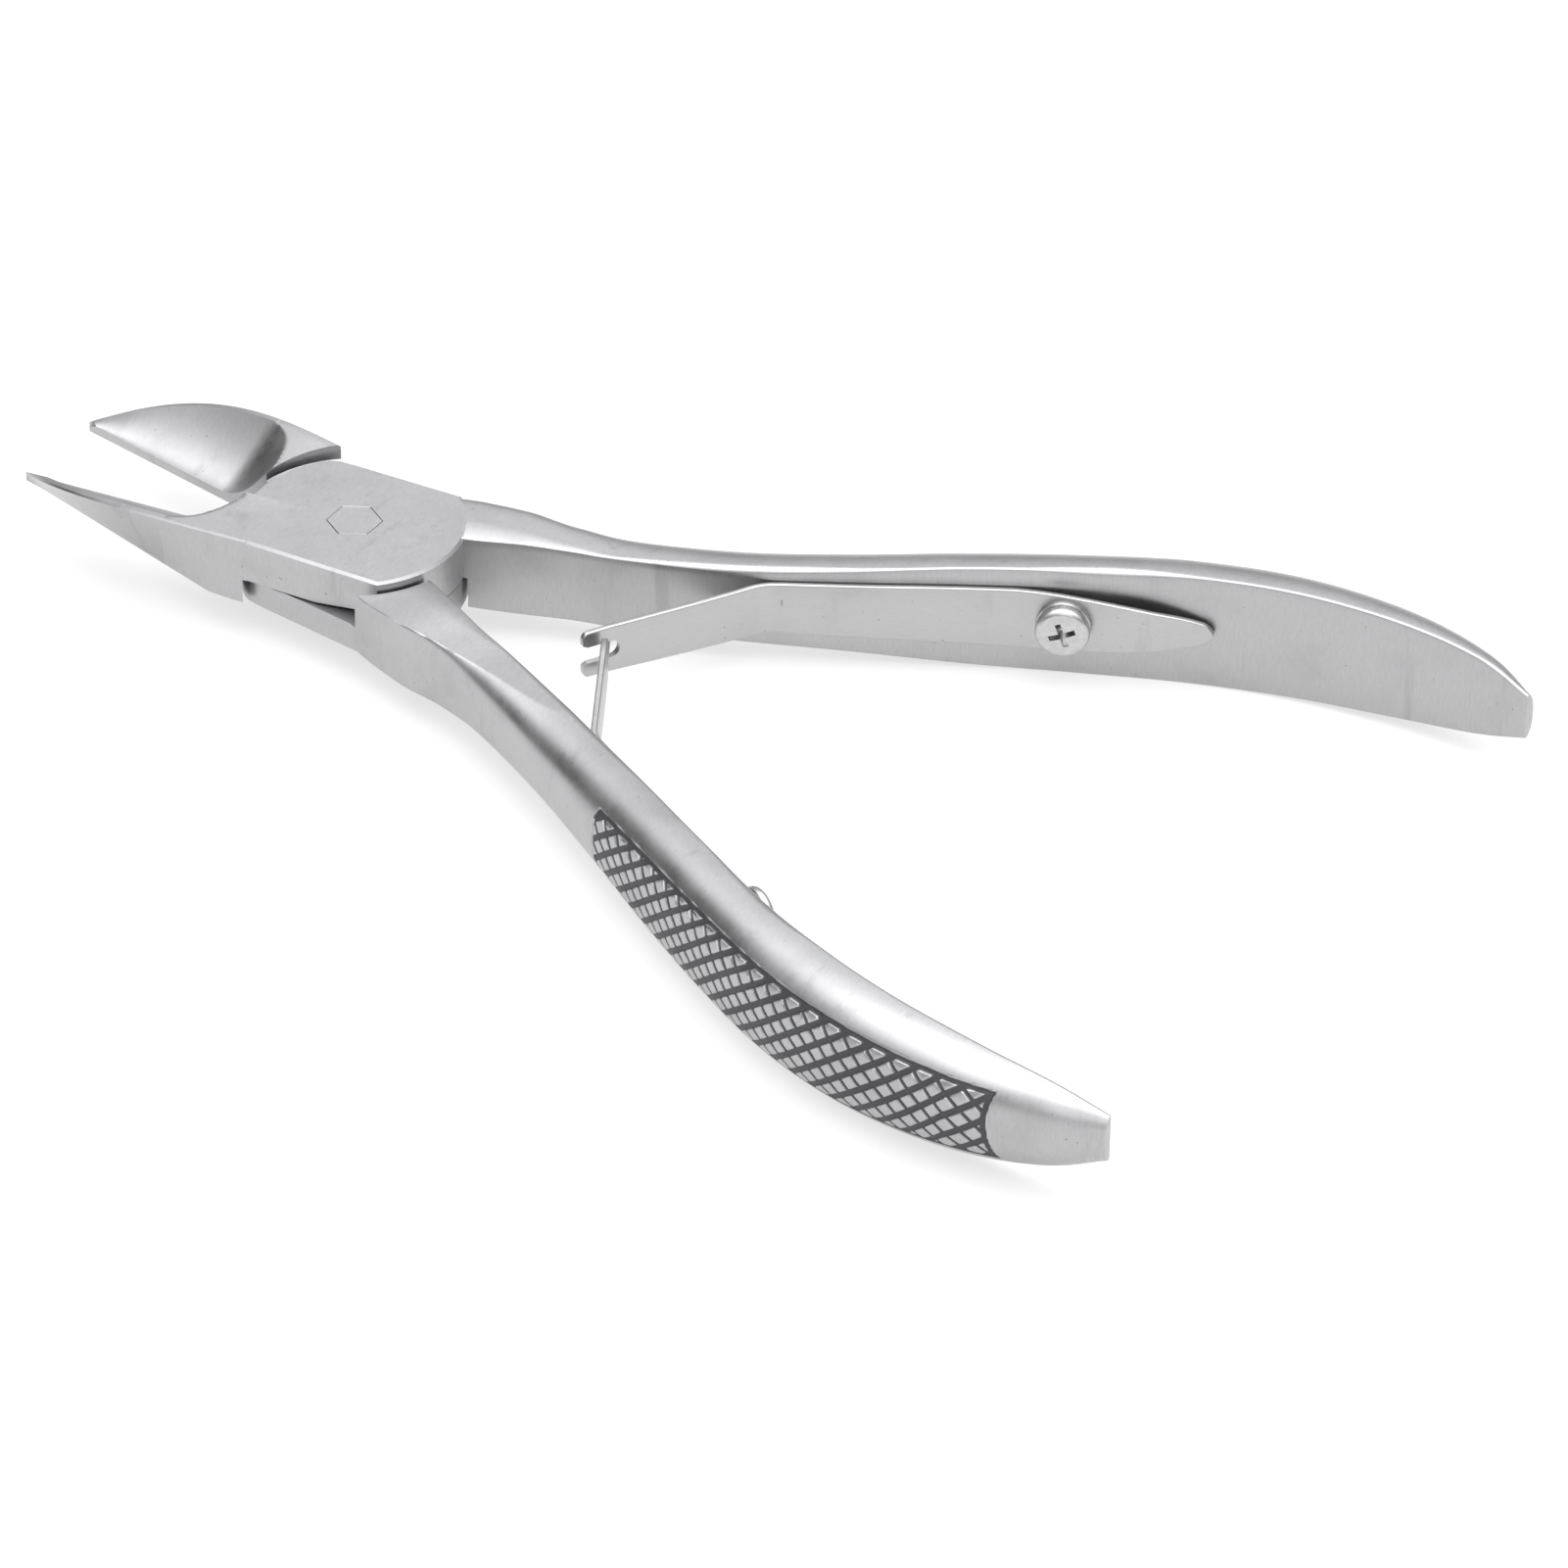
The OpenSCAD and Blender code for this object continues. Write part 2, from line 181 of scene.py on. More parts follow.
LEAF_T = 0.6
LEAF_W, LEAF_TIP_W, LEAF_ROOT_W = 5.4, 4.9, 6.4
LEAF_Z = from_record(frame["record"]["behaviour"]["joints"], "slotted_leaf_flex")
LEAF_EDGE = 0.17
FACE_GAP = 0.1                             # between a leaf and its handle
LEAF_MID = FACE_GAP + LEAF_T / 2
BEND_X, BEND_R = 37.7, 1.3
CROSS_X = 28.0                             # where the two free parts cross
TIP_CAMBER = 0.6                           # rise of the free tips above the straight strip
SLOT_H, SLOT_SETBACK = 1.8, 1.3
PRONG_REACH, PRONG_ROUND = 2.5, 0.6
PRONG_CORNER = 0.65                        # how far the prongs' outer corners come in
SLOT_MOUTH, SLOT_FLARE = 0.45, 0.5         # where the slot starts to open out, and by how much
TONGUE_H, TONGUE_SETBACK = 1.3, 1.2
SHOULDER_ROUND = 0.35                      # rounding of the shoulders beside the tongue
CURL_FROM, CURL_REACH, CURL_RISE = 1.4, 1.95, 1.2
TAPER_X = 59.5
TAPER_POINT = 1.3                          # how far past the tail the taper would end
TAPER_POWERS = (1.7, 0.62)                 # fullness of the taper
TAIL_X = 77.2
TAIL_ROUND = 1.0
TAIL_FROM, TAIL_RUN = 70, 7.2              # the tail's rings crowd towards its end
TAIL_RISE = 0.85                           # how far the clamped part bows off the handle
RISE_X = (58, 70.5)
FALL_X, FALL_SHARE = 71, 0.8

# ---- Screws ------------------------------------------------------------------------------------

SCREW_X = 63.7
SCREW_LIFT = 0.25
SCREW_HEAD_R, SCREW_HEAD_H = 2.6, 2.1
SCREW_SHANK_R, SCREW_POINT_R = 1.2, 0.8
SCREW_HEAD_ROUND = 0.55
ARM_BORE_R, LEAF_BORE_R = 1.28, 1.33
CROSS_TURN = math.radians(20)
# Each slot of the cross recess: (depth into the head, half length, half width)
RECESS = ((-0.3, 1.42, 0.3), (0.3, 1.2, 0.26), (1.0, 0.6, 0.2), (1.25, 0.2, 0.12))

# ---- Curves ------------------------------------------------------------------------------------


def catmull(a, b, c, d, t):
    """Smooth curve from b to c that heads away from a and towards d."""
    return b + t * ((c - a) / 2 + t * ((2 * a - 5 * b + 4 * c - d) / 2
                                       + t * (3 * b - 3 * c + d - a) / 2))


def handle_row(x):
    """The handle's sizes at distance x, on a smooth curve through the table's rows."""
    last = len(HANDLE) - 1
    i = int(np.clip(np.searchsorted(HANDLE[:, 0], x) - 1, 0, last - 1))
    t = (x - HANDLE[i, 0]) / (HANDLE[i + 1, 0] - HANDLE[i, 0])
    b, c = HANDLE[i], HANDLE[i + 1]
    a = HANDLE[i - 1] if i else 2 * b - c
    d = HANDLE[i + 2] if i + 2 <= last else 2 * c - b
    return catmull(a, b, c, d, t)


def inner_point(x):
    """Where the handle's inner face is at x, on the +Y side."""
    return handle_row(x)[:2]


def inner_dir(x):
    d = inner_point(x + 0.2) - inner_point(x - 0.2)
    return d / np.linalg.norm(d)


def left_of(d):
    return np.array([-d[1], d[0]])


def turned(p, angle):
    c, s = math.cos(angle), math.sin(angle)
    return np.array([p[0] * c - p[1] * s, p[0] * s + p[1] * c])


def smoothstep(low, high, v):
    t = np.clip((v - low) / (high - low), 0, 1)
    return t * t * (3 - 2 * t)


def lengths(points):
    """Distance along a line of points, at each point."""
    steps = np.linalg.norm(np.diff(points, axis=0), axis=1)
    return np.concatenate([[0], np.cumsum(steps)])


# ---- Meshes ------------------------------------------------------------------------------------


def solid(name, points, faces):
    """A closed mesh object, facing outward, from points in millimetres."""
    mesh = bpy.data.meshes.new(name)
    mesh.from_pydata([tuple(p) for p in points], [], faces)
    mesh.validate()
    work = bmesh.new()
    work.from_mesh(mesh)
    bmesh.ops.recalc_face_normals(work, faces=work.faces)
    work.to_mesh(mesh)
    work.free()
    obj = bpy.data.objects.new(name, mesh)
    bpy.context.scene.collection.objects.link(obj)
    return obj


def loft(name, rings):
    """Closed solid through rings of the same number of points, with a fan over each end."""
    rings = np.asarray(rings, float)
    count, n = rings.shape[:2]
    faces = []
    for i in range(count - 1):
        for j in range(n):
            a, b = i * n + j, i * n + (j + 1) % n
            faces.append((a, a + n, b + n, b))
    points = list(rings.reshape(-1, 3))
    for ring, start in ((rings[0], 0), (rings[-1], (count - 1) * n)):
        middle = len(points)
        points.append(ring.mean(0))
        faces += [(middle, start + j, start + (j + 1) % n) for j in range(n)]
    return solid(name, points, faces)


def inset(outline, d):
    """A counter-clockwise outline moved inward by d with mitred corners."""
    p = np.asarray(outline, float)
    before, after = p - np.roll(p, 1, 0), np.roll(p, -1, 0) - p
    n0 = np.column_stack([-before[:, 1], before[:, 0]]) / np.linalg.norm(before, axis=1)[:, None]
    n1 = np.column_stack([-after[:, 1], after[:, 0]]) / np.linalg.norm(after, axis=1)[:, None]
    m = n0 + n1
    return p + d * m / np.maximum((m * n0).sum(1), 0.2)[:, None]


def prism(name, outline, levels):
    """Upright solid with the outline moved inward by a different amount at each (z, inset)."""
    rings = [np.column_stack([inset(outline, d), np.full(len(outline), z)]) for z, d in levels]
    return loft(name, rings)


def lathe(name, profile, steps=96):
    """Solid of revolution about Z through (radius, z) points."""
    turns = np.linspace(0, 2 * math.pi, steps, endpoint=False)
    rings = [np.column_stack([r * np.cos(turns), r * np.sin(turns), np.full(steps, z)])
             for r, z in profile]
    return loft(name, rings)


def combine(base, tools, operation):
    """Applies a Boolean of base with each tool in turn, and deletes the tools."""
    for tool in tools:
        step = base.modifiers.new("join", "BOOLEAN")
        step.operation, step.object, step.solver = operation, tool, "MANIFOLD"
        bpy.context.view_layer.update()
        done = bpy.data.meshes.new_from_object(
            base.evaluated_get(bpy.context.evaluated_depsgraph_get()))
        base.modifiers.clear()
        base.data = done
        bpy.data.objects.remove(tool)
    return base


def points_of(obj):
    """The mesh's points as an array."""
    flat = np.zeros(len(obj.data.vertices) * 3, np.float32)
    obj.data.vertices.foreach_get("co", flat)
    return flat.reshape(-1, 3)


def smooth(obj, angle=30):
    """Smooth shading, with edges that turn by more than the angle left sharp."""
    obj.data.polygons.foreach_set("use_smooth", [True] * len(obj.data.polygons))
    obj.data.set_sharp_from_angle(angle=math.radians(angle))


def place(obj, upper, closed=True):
    """From millimetres, with the handle at -Y, to where the piece stands at rest in metres."""
    turn = Matrix.Rotation(-OPEN_HALF if closed else 0, 4, "Z")
    if upper:
        turn = MIRROR @ turn
    obj.data.transform(Matrix.Scale(MM, 4) @ turn)
    if upper:
        obj.data.flip_normals()
    obj.data.update()
    return obj


# ---- Making the handles ------------------------------------------------------------------------


def groove(s, t, angle, pitch, half):
    """1 in the middle of a family of parallel grooves, 0 between them."""
    v = (t * math.cos(angle) - s * math.sin(angle)) / pitch
    off = np.abs(v - np.round(v)) * pitch
    return 1 - smoothstep(half * 0.7, half * 1.3, off)


def inside_pad(s, t):
    """Distance inside the knurled pad's outline, with s along the handle and t round its back."""
    share = (s - (KNURL_FROM + KNURL_TO) / 2) / ((KNURL_TO - KNURL_FROM) / 2)
    half = KNURL_HALF - np.where(share < 0, *KNURL_NARROWS) * share ** 2
    left = s - KNURL_FROM - KNURL_END_BOW * (t - KNURL_END_MIDDLE[0]) ** 2
    right = KNURL_TO + KNURL_END_BOW * (t - KNURL_END_MIDDLE[1]) ** 2 - s
    return np.minimum(np.minimum(left, right), half - np.abs(t))


def knurl(s, t):
    """How far the pad is cut in at s and t, from 0 to 1."""
    inside = inside_pad(s, t)
    cells = 1 - np.maximum(groove(s, t, *ROWS), groove(s, t, *CELLS))
    cells = cells * smoothstep(KNURL_BORDER, KNURL_BORDER + KNURL_CELL_WALL, inside)
    return smoothstep(*KNURL_WALL, inside) * (1 - cells)


def handle_section(x, root_drop):
    """Closed section at x as (distance out from the inner face, z), and each point's distance
    round the back from its middle, which is NaN on the inner face."""
    _, _, thick, tall, square, middle = handle_row(x)
    r = min(INNER_ROUND, thick / 4)
    wide = r + sum(e * max(0, 1 - ((x - at) / reach) ** 2) ** 2 for at, reach, e in WORN)
    cap = middle + tall / 2 - root_drop
    turns = np.radians(np.linspace(-90, 90, SECTION_SAMPLES))
    out = thick * np.cos(turns) ** (2 / square)
    up = middle + np.sign(turns) * np.abs(np.sin(turns)) ** (2 / square) * tall / 2
    back = np.column_stack([out, np.minimum(up, cap)])
    back_at = lengths(back) - np.interp(0, turns, lengths(back))
    keep = out > np.where(turns < 0, r, wide)
    back, back_at = back[keep], back_at[keep]
    at = lengths(back)
    want = np.linspace(0, at[-1], BACK_POINTS)
    back = np.column_stack([np.interp(want, at, back[:, k]) for k in (0, 1)])
    back_at = np.interp(want, at, back_at)
    first, last = back[0, 1], back[-1, 1]
    bend = np.radians(np.linspace(0, 90, CORNER_POINTS))[:-1]
    below = np.column_stack([r * (1 - np.cos(bend)), first + r * (1 - np.sin(bend))])
    above = np.column_stack([wide * (1 - np.cos(bend)),
                             last - wide * (1 - np.sin(bend)) * TOP_ROUND_SHARE])[::-1]
    front_z = np.linspace(last - wide * TOP_ROUND_SHARE, first + r, FRONT_POINTS)[1:-1]
    front = np.column_stack([np.zeros(len(front_z)), front_z])
    section = np.vstack([below, back, above, front])
    distance = np.full(len(section), np.nan)
    distance[len(below):len(below) + len(back)] = back_at
    return section, distance


def handle_stations():
    """Where the handle's rings are, with the closest ones along the knurled pad."""
    root = list(np.arange(HANDLE[0, 0], KNURL_FROM - 0.5, ROOT_STEP))
    pad = list(np.arange(KNURL_FROM - 0.4, KNURL_TO + 1.2, KNURL_STEP))
    end = list(np.arange(KNURL_TO + 1.3, END_X, END_STEP))
    return root + pad + end + END_STATIONS


def handle_solid(root_drop):
    """The handle on the -Y side with its knurled pad, its points, and how far each is cut in."""
    rings, cuts = [], []
    for x in handle_stations():
        row, d = handle_row(x), inner_dir(x)
        drop = root_drop * np.clip((DROP_END_X - x) / DROP_RUN, 0, 1)
        section, back_at = handle_section(x, drop)
        cut = np.where(np.isnan(back_at), 0, knurl(x, np.nan_to_num(back_at)))
        onward = np.roll(section, -1, 0) - np.roll(section, 1, 0)
        normal = np.column_stack([onward[:, 1], -onward[:, 0]])
        normal /= np.linalg.norm(normal, axis=1)[:, None]
        section = section - normal * (cut * KNURL_DEPTH)[:, None]
        plan = row[:2] + section[:, :1] * left_of(d)
        rings.append(np.column_stack([plan[:, 0], -plan[:, 1], section[:, 1]]))
        cuts.append(cut)
    return loft("handle", rings), np.vstack(rings), np.concatenate(cuts)


# ---- Making the jaws ---------------------------------------------------------------------------


def jaw_share(x, power):
    """How far x is along the jaw, from 0 at its root to 1 at its tip, raised to a power."""
    return max(0, (x - JAW_ROOT_X) / (JAW_REACH - JAW_ROOT_X)) ** power


def jaw_side_y(x):
    """Outer side of the jaw at its rim."""
    return JAW_SIDE * (1 - jaw_share(x, SIDE_BOW)) - SIDE_INSET


def jaw_rim_z(x, top, bow):
    """Height of the jaw's rim, which falls from the head's height to the tip."""
    share = jaw_share(x, bow)
    return LAP_Z + (top - LAP_Z) * (1 - share) + TIP_RIM * share


def jaw_hollow_z(x, y, w, rim, dip):
    """Top of the jaw inside its rim: a hollow that rises to the rim and to the root."""
    start, slant, curve = HOLLOW_START
    root = rim - dip * (1 - min(y / w, 1))
    past_root = x - (start + slant * y + curve * y * y)
    across = LAP_Z + (rim - LAP_Z) * min(y / w, 1) ** HOLLOW_BOW
    ramp = root - HOLLOW_RAMP * max(0, past_root)
    h = max(0, 1 - abs(across - ramp) / HOLLOW_BLEND)
    return root if past_root <= 0 else min(root, max(across, ramp) + h * h * HOLLOW_BLEND / 4)


def jaw_solid(top, bottom, dip, bow):
    """A jaw from its root to its tip, on the +Y side."""
    rings = []
    for i in range(JAW_RINGS + 1):
        share = 1 - (1 - i / JAW_RINGS) ** JAW_CROWDING
        x = JAW_ROOT_X + (JAW_REACH - JAW_ROOT_X - TIP_BLUNT) * share
        side = jaw_side_y(x)
        rim = jaw_rim_z(x, top - RIM_UNDER, bow)
        w = max(side - RIM_W * min(1, side / RIM_FULL), 0.02)
        low_y = JAW_SIDE * min(1, (JAW_REACH - x) / (JAW_REACH - BELLY_X)) - SIDE_INSET
        low_y = max(low_y, 0.03)
        low_z = LAND_Z + (bottom - LAND_Z) * min(1, (JAW_REACH - x) / (JAW_REACH - LAND_X))
        land = LAND_Z - (LAND_Z - low_z) * max(0, 1 - (x - LAND_X) / LAND_RUN)
        under = land - UNDER_CLEAR
        e = min(JAW_EDGE, (side - w) / 3, (rim - low_z) / 5)
        low_e = min(e, low_y / 2)
        ys = np.linspace(0, 1, HOLLOW_POINTS) ** 0.8 * w
        ring = [(BLADE_Y + y, jaw_hollow_z(x, y, w, rim, dip)) for y in ys]
        ring[0] = (BLADE_Y + CUT_EDGE * 0.4, ring[0][1] + CUT_EDGE * 0.3)
        ring += [(BLADE_Y + side - e, rim), (BLADE_Y + side, rim - e),
                 (BLADE_Y + low_y, low_z + low_e), (BLADE_Y + low_y - low_e, low_z),
                 (BLADE_Y, under), (BLADE_Y, under + 0.6 * (LAP_Z - under))]
        rings.append([(-x, y, z) for y, z in ring])
    return loft("jaw", rings)


# ---- Making the arms ---------------------------------------------------------------------------


def relief():
    """Wedge that hollows the underside of the upper lap beside its jaw, at the shoulder."""
    rings = []
    low, face = LAP_Z - 1, LAP_Z + LAP_GAP / 2
    for x, deep in RELIEF:
        y = JAW_SIDE + (x + JAW_ROOT_X) * RELIEF_SPREAD
        inner, outer = y - RELIEF_LEAN * deep, y + 2
        rings.append([(x, inner, low), (x, outer, low), (x, outer, face + deep),
                      (x, y - 0.05, face + deep), (x, inner, face)])
    return loft("relief", rings)


def arc(start, end, radius, steps):
    """Points on a circle round the pivot, from the direction of start to that of end."""
    turns = np.linspace(math.atan2(start[1], start[0]), math.atan2(end[1], end[0]), steps)
    return [(radius * math.cos(a), radius * math.sin(a)) for a in turns]


def lap_outline():
    """The lap seen from above, counter-clockwise, with its straight sides and the jaw's root.
    Its front corner is eased a little."""
    front = arc((-LAP_R, -0.3), (-7.55, -7.44), LAP_R, 24)
    eased = [(-7.1, -7.84), (-6.5, -8.22), (-5.9, -8.44), (-5.4, -HEAD_SIDE)]
    back = arc(WAIST, SHOULDER, LAP_R, 72)[1:]
    jaw_root = [(-JAW_ROOT_X, JAW_SIDE), (-11.4, JAW_SIDE), (-11.4, 3.7), (-10.8, 0.08)]
    return front + eased + [(-4, -HEAD_SIDE), WAIST] + back + jaw_root


def hexagon(radius, turn):
    """Corners of a hexagon round the pivot."""
    turns = np.arange(6) * math.pi / 3 + turn
    return [(radius * math.cos(a), radius * math.sin(a)) for a in turns]


def screw_matrix():
    """Where a leaf screw stands, with +Z going into the handle on the -Y side."""
    p, d = inner_point(SCREW_X), inner_dir(SCREW_X)
    n = left_of(d)
    return Matrix(((d[0], 0, n[0], p[0]), (-d[1], 0, -n[1], -p[1]),
                   (0, 1, 0, LEAF_Z), (0, 0, 0, 1)))


def lap_plate(name, upper):
    """The flat plate of the lap, with a wide chamfer round its outer face and a fine one inside."""
    if upper:
        low, high = LAP_Z + LAP_GAP / 2, HEAD_T
        levels = [(low, UPPER_INNER_EDGE), (low + UPPER_INNER_EDGE, 0),
                  (high - EDGE, 0), (high, EDGE)]
    else:
        low, high = 0, LAP_Z - LAP_GAP / 2
        levels = [(low, EDGE), (low + EDGE, 0),
                  (high - LOWER_INNER_EDGE, 0), (high, LOWER_INNER_EDGE)]
    return prism(name, lap_outline(), levels)


def upper_cuts():
    """Room for the lower lap, the hexagon's hole with an eased rim, and the relief."""
    face = LAP_Z + LAP_GAP / 2
    socket = lathe("socket", [(SOCKET_R, BELOW), (SOCKET_R, face)])
    hole = prism("hole", hexagon(HEX_R + HEX_GAP, -HEX_TURN),
                 [(face - 1, 0), (HEAD_T - 0.04, 0), (HEAD_T + 0.04, -0.08)])
    return [socket, hole, relief()]


def lower_cuts():
    """Room for the upper lap, flared at the handle's root, and the rivet's countersunk bore."""
    face, root_top = LAP_Z - LAP_GAP / 2, HEAD_T - ROOT_DROP
    flared = SOCKET_R + SOCKET_FLARE * 1.6
    socket = lathe("socket", [(SOCKET_R, face), (SOCKET_R, root_top - SOCKET_FLARE),
                              (flared, root_top + SOCKET_FLARE * 0.6), (flared, ABOVE)])
    bore = lathe("bore", [(FOOT_R + FOOT_GAP, -1), (FOOT_R + FOOT_GAP, 0),
                          (SHANK_R + SHANK_GAP, FOOT_H), (SHANK_R + SHANK_GAP, 5)])
    return [socket, bore]


def arm(name, upper):
    """One arm in one piece: lap, jaw and knurled handle, with its bores."""
    body = lap_plate(name, upper)
    handle, places, cuts = handle_solid(0 if upper else ROOT_DROP)
    combine(body, [handle, jaw_solid(*(UPPER_JAW if upper else LOWER_JAW))], "UNION")
    tools = upper_cuts() if upper else lower_cuts()
    screw_bore = lathe("screw_bore", [(ARM_BORE_R, -1), (ARM_BORE_R, 3.4)], 32)
    screw_bore.data.transform(screw_matrix())
    combine(body, tools + [screw_bore], "DIFFERENCE")
    mark_cuts(body, places, cuts)
    smooth(body)
    place(body, upper)
    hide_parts(name)
    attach(body, name)
    return body


def mark_cuts(obj, places, cuts):
    """Keeps how deep each point of the knurled pad is cut in, for the material to paint the grooves
    darker, as dirt and painted shade.
    The Booleans renumber the points, so each finds its old place again."""
    tree = KDTree(len(places))
    for i, at in enumerate(places):
        tree.insert(at, i)
    tree.balance()
    values = np.zeros(len(obj.data.vertices), np.float32)
    for k, co in enumerate(points_of(obj)):
        if co[0] > KNURL_FROM - 1.5:
            _, i, distance = tree.find(co)
            values[k] = cuts[i] if distance < 0.02 else 0
    kept = obj.data.attributes.new("cut_in", "FLOAT", "POINT")
    kept.data.foreach_set("value", values)


# ---- Making the rivet --------------------------------------------------------------------------


def rivet():
    """The pivot: countersunk foot, round shank, and the hexagon that fills the upper lap's hole."""
    face = LAP_Z + LAP_GAP / 2
    body = lathe("rivet", [(FOOT_R - 0.05, 0), (FOOT_R, 0.05), (SHANK_R, FOOT_H),
                           (SHANK_R, face + 0.3)])
    head = prism("head", hexagon(HEX_R, OPEN_HALF + HEX_TURN),
                 [(face, 0), (HEAD_T - HEX_EDGE, 0), (HEAD_T, HEX_EDGE)])
    combine(body, [head], "UNION")
    smooth(body)
    place(body, False, closed=False)
    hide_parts("pivot_rivet")
    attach(body, "upper_arm")
    return body


# ---- Making the leaf springs -------------------------------------------------------------------


def strip_point(x, lift=0):
    """Middle of the clamped strip at x, on the closed arm's +Y side."""
    return inner_point(x) - (LEAF_MID + lift) * left_of(inner_dir(x))


BEND = turned(strip_point(BEND_X), OPEN_HALF)
CROSS = np.array([CROSS_X, 0])
FREE_LEN = float(np.linalg.norm(CROSS - BEND))
FREE_DIR = (CROSS - BEND) / FREE_LEN


def leaf_half(x):
    """Half width of the clamped part: widening to the taper, then pointed with a round end."""
    if x < TAPER_X:
        return (LEAF_W + (LEAF_ROOT_W - LEAF_W) * (x - BEND_X) / (TAPER_X - BEND_X)) / 2
    start, end = TAPER_POWERS
    taper = (1 - ((x - TAPER_X) / (TAIL_X + TAPER_POINT - TAPER_X)) ** start) ** end
    rounded = math.sqrt(max(1e-3, 1 - max(0, (x - TAIL_X + TAIL_ROUND) / TAIL_ROUND) ** 2))
    return LEAF_ROOT_W / 2 * taper * rounded


def base_line():
    """Middle line and half width of the clamped part, from the bend to the tail."""
    tail = TAIL_X - TAIL_RUN * np.cos(np.linspace(0, math.pi / 2, 30)) ** 1.7
    xs = np.concatenate([np.arange(BEND_X + 1.2, TAIL_FROM, 0.5), tail])
    lift = [TAIL_RISE * float(smoothstep(*RISE_X, x) - FALL_SHARE * smoothstep(FALL_X, TAIL_X, x))
            for x in xs]
    line = np.array([turned(strip_point(x, up), OPEN_HALF) for x, up in zip(xs, lift)])
    return line, np.array([leaf_half(x) for x in xs])


def rounded_bend(start, end):
    """Points that turn smoothly from start to end round the bend."""
    t = np.linspace(0, 1, 14)[1:-1, None]
    return (1 - t) ** 2 * start + 2 * t * (1 - t) * BEND + t ** 2 * end


def camber(point):
    """How far the free part has curved upward by this point."""
    free = max(0.0, float((point - BEND) @ FREE_DIR)) / FREE_LEN
    return TIP_CAMBER * min(free, 1.0) ** 1.5


def strip_ring(middle, side, half):
    """Rounded section of the strip: across is along side, and half is its half height."""
    level = LEAF_Z + camber(middle)
    e = min(LEAF_EDGE, half * 0.8)
    h = LEAF_T / 2
    corners = [(h - e, half - e, 0), (-h + e, half - e, 90), (-h + e, -half + e, 180),
               (h - e, -half + e, 270)]
    ring = []
    for a, b, start in corners:
        for k in range(5):
            turn = math.radians(start + 22.5 * k)
            across, up = a + e * math.cos(turn), b + e * math.sin(turn)
            ring.append((*(middle + across * side), level + up))
    return ring


def strip(name, line, halves):
    """The strip that follows a plan line with the half width given at each point."""
    ahead, behind = np.roll(line, -1, 0), np.roll(line, 1, 0)
    ahead[-1], behind[0] = line[-1], line[0]
    rings = []
    for middle, d, half in zip(line, ahead - behind, halves):
        rings.append(strip_ring(middle, left_of(d / np.linalg.norm(d)), half))
    return loft(name, rings)


def whole_leaf(name, free_line, free_halves):
    """One strip from the tip of the free part, round the bend, to the tail."""
    base, base_halves = base_line()
    bend = rounded_bend(free_line[-1], base[0])
    line = np.vstack([free_line, bend, base])
    halves = np.concatenate([free_halves, np.full(len(bend), LEAF_W / 2), base_halves])
    return strip(name, line, halves)


def along(distances):
    """Points on the free part's line, at distances from the bend."""
    return BEND + np.asarray(distances, float)[:, None] * FREE_DIR


def slotted_leaf():
    """The leaf whose free end is a fork, and the tool that cuts the fork's slot."""
    end = FREE_LEN + PRONG_REACH
    quarter = np.cos(np.linspace(0, math.pi / 2, 9))
    ds = np.concatenate([end - PRONG_ROUND + PRONG_ROUND * quarter,
                         np.linspace(end - 0.9, BEND_R, 36)])
    tip = np.sqrt(np.clip(1 - ((ds - end + PRONG_ROUND) / PRONG_ROUND) ** 2, 0.0, 1))
    halves = np.interp(ds, [BEND_R, end], [LEAF_W / 2, LEAF_TIP_W / 2])
    halves = np.where(ds > end - PRONG_ROUND, halves - PRONG_CORNER * (1 - tip), halves)
    leaf = whole_leaf("slotted_leaf", along(ds), halves)
    root = FREE_LEN - SLOT_SETBACK
    r = SLOT_H / 2
    round_end = [(root + r - r * math.sin(a), r * math.cos(a))
                 for a in np.radians(np.linspace(0, 180, 17))]
    mouth = [(end + 0.4, -r - SLOT_FLARE), (end + 0.4, r + SLOT_FLARE), (end - SLOT_MOUTH, r)]
    slot = prism("slot", mouth + round_end + [(end - SLOT_MOUTH, -r)], [(-2, 0), (2, 0)])
    d, n = FREE_DIR, left_of(FREE_DIR)
    slot.data.transform(Matrix(((d[0], 0, -n[0], BEND[0]), (d[1], 0, -n[1], BEND[1]),
                                (0, 1, 0, LEAF_Z + TIP_CAMBER), (0, 0, 0, 1))))
    return leaf, [slot]


def tongue_leaf():
    """The leaf whose free end is a narrow tongue with a curled tip; it needs no cutting tool."""
    shoulder = FREE_LEN - TONGUE_SETBACK
    turns = np.radians(np.linspace(95, 0, 18))
    curl = (along(FREE_LEN + CURL_FROM + CURL_REACH * np.sin(turns))
            + CURL_RISE * (1 - np.cos(turns))[:, None] * left_of(FREE_DIR))
    neck = np.linspace(FREE_LEN + 1.2, shoulder, 14)
    wide = np.linspace(shoulder - 0.12, BEND_R, 34)
    curl_halves = TONGUE_H / 2 * np.sqrt(np.clip(np.linspace(0.15, 1.6, len(curl)), 0, 1))
    wide_halves = np.interp(wide, [BEND_R, shoulder], [LEAF_W / 2, LEAF_TIP_W / 2])
    wide_halves[:6] -= SHOULDER_ROUND * (1 - np.sqrt(np.linspace(0, 1, 6)))
    halves = np.concatenate([curl_halves, np.full(len(neck), TONGUE_H / 2), wide_halves])
    leaf = whole_leaf("tongue_leaf", np.vstack([curl, along(neck), along(wide)]), halves)
    return leaf, []


